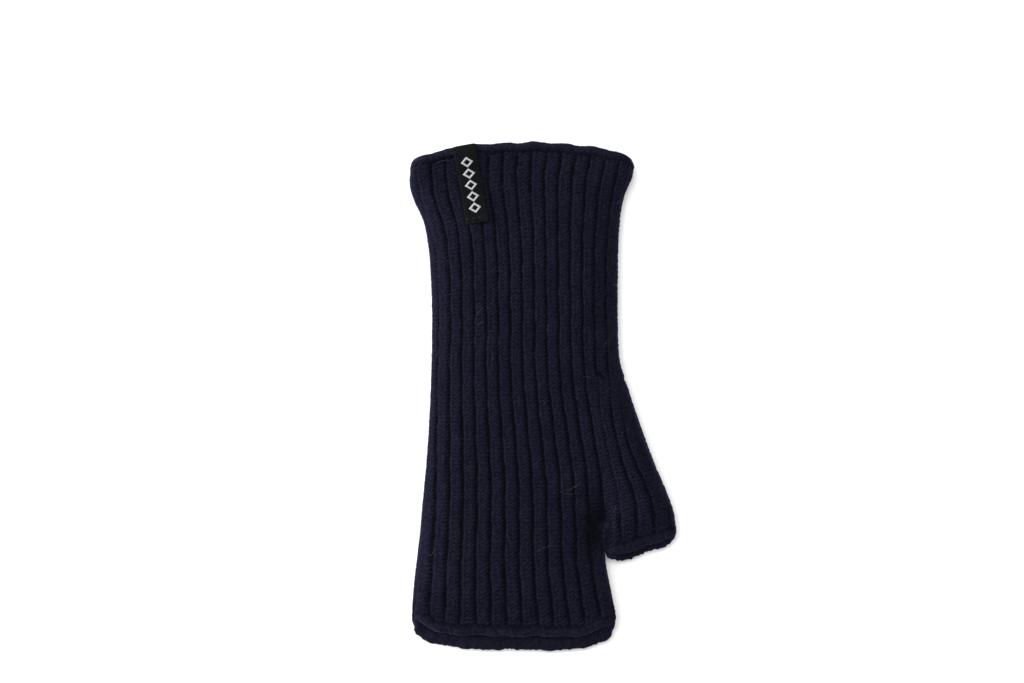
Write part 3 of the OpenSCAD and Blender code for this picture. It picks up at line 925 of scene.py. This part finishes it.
WRIST_FOLD = ("hand", "cuff", (0, WRIST_Y - WRIST_BEND, FOLD_Z), (0, WRIST_Y + WRIST_BEND, FOLD_Z))
FINGER_FOLD = (
    "hand", "finger_end", (0, KNUCKLE_Y + KNUCKLE_BEND, FOLD_Z), (0, KNUCKLE_Y - KNUCKLE_BEND, FOLD_Z),
)
THUMB_RIGHT = np.array((-THUMB_AXIS[1], THUMB_AXIS[0], 0)) * THUMB_BEND
THUMB_FOLD = ("hand", "thumb", tuple(CROTCH), tuple(CROTCH + THUMB_RIGHT))


def bend(obj, slot, fold, *nodes):
    """obj has its transform baked in, and stands for nodes. fold is not used."""
    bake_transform(obj)
    if nodes:
        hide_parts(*nodes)


def carry(obj, slot, body, *nodes):
    """obj rides on body, and stands for nodes."""
    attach(obj, body)
    if nodes:
        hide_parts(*nodes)


def layers(part):
    return f"{part}_back_panel", f"{part}_palm_panel"


def build():
    knit_wool = wool()
    fuzz_wool = fibre("navy_fibres", (0.005, 0.005, 0.010), (0.012, 0.012, 0.022))
    pale_wool = fibre("pale_hairs", (0.1, 0.1, 0.11), (0.26, 0.25, 0.26))
    cuff = shell("cuff_knit", cuff_layout(), knit_wool, True)
    hand = shell("hand_knit", hand_layout(), knit_wool, False)
    thumb = shell("thumb_knit", thumb_layout(), knit_wool, False)
    knits = (
        ("cuff", cuff, WRIST_FOLD, layers("cuff"), 5200),
        ("hand", hand, FINGER_FOLD, layers("hand") + layers("finger"), 5200),
        ("thumb", thumb, THUMB_FOLD, layers("thumb"), 1600),
    )
    for name, knit, fold, nodes, count in knits:
        obj, points, normals, _ = knit
        points, normals = points.reshape(-1, 3), normals.reshape(-1, 3)
        fuzz = fibres(f"{name}_fuzz", points, normals, count, 2.2, 0.035, fuzz_wool)
        hairs = fibres(f"{name}_hairs", points, normals, count // 400, 13, 0.022, pale_wool)
        bend(obj, "navy_wool", fold, *nodes)
        bend(fuzz, "navy_wool", fold)
        bend(hairs, "navy_wool", fold)
    seams = (
        ("cuff_seam", cuff, WRIST_FOLD, ("cuff_side_seam",)),
        ("finger_seam", hand, FINGER_FOLD, ("hand_side_seam", "finger_side_seam")),
        ("thumb_seam", thumb, THUMB_FOLD, ("thumb_side_seam",)),
    )
    for name, knit, fold, nodes in seams:
        bend(side_seam(name, knit, knit_wool), "navy_wool", fold, *nodes)

    rims = (
        ("wrist", WRIST_RIM, "cuff", 1500),
        ("finger", FINGER_RIM, "finger_end", 1500),
        ("thumb", THUMB_RIM, "thumb", 600),
    )
    for name, rim, body, count in rims:
        roll, points, normals = rolled_edge(f"{name}_roll", rim, knit_wool)
        points, normals = points.reshape(-1, 3), normals.reshape(-1, 3)
        fuzz = fibres(f"{name}_roll_fuzz", points, normals, count, 2.0, 0.035, fuzz_wool)
        carry(roll, "navy_wool", body, f"{name}_rolled_edge")
        carry(fuzz, "navy_wool", body)

    satin = woven("black_satin", (0.002, 0.0022, 0.0023), (0.0045, 0.005, 0.0053), 0.6, 0.35)
    pale_thread = woven("pale_thread", (0.22, 0.225, 0.24), (0.36, 0.37, 0.4), 0.7, 0.3)
    dark_thread = woven("dark_thread", (0.008, 0.009, 0.01), (0.02, 0.022, 0.024), 0.6, 0.3)
    strip, length = label(satin)
    motif = label_motif(pale_thread)
    stitches = label_stitches(dark_thread)
    carry(strip, "black_woven", "cuff", "label")
    carry(motif, "grey_thread", "cuff")
    carry(stitches, "grey_thread", "cuff", "label_stitching")


add_camera()
add_lights()
add_floor()
build()
